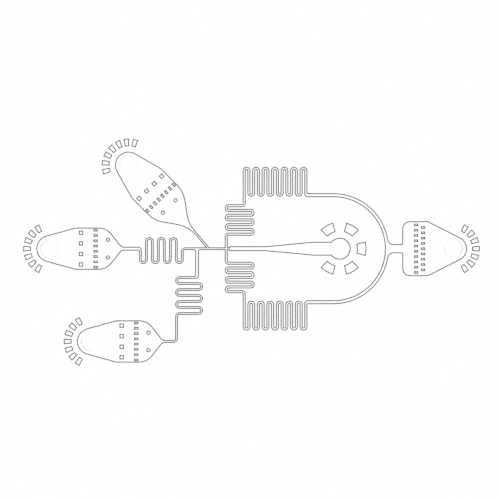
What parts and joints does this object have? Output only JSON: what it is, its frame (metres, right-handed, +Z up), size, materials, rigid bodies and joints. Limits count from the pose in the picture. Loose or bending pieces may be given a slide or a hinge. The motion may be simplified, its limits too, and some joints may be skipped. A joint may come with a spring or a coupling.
{
  "type": "microfluidic chip",
  "caption": "Droplet-making chip: a clear silicone slab with moulded channels, filter posts and punched ports, bonded to a glass slide.",
  "frame": {"origin": "middle of the glass slide's underside", "axes": "+X along the slide from the water inlets to the oil inlet, +Y across the slide towards the diagonal inlet, +Z up from the glass to the slab"},
  "size_m": [0.076, 0.026, 0.006],
  "materials": {
    "slide_glass": "polished faces, ground edges",
    "clear_silicone": "clear, smooth cast faces"
  },
  "bodies": {
    "root": {"glass_slide": "slide_glass", "pdms_slab": "clear_silicone"}
  },
  "joints": []
}
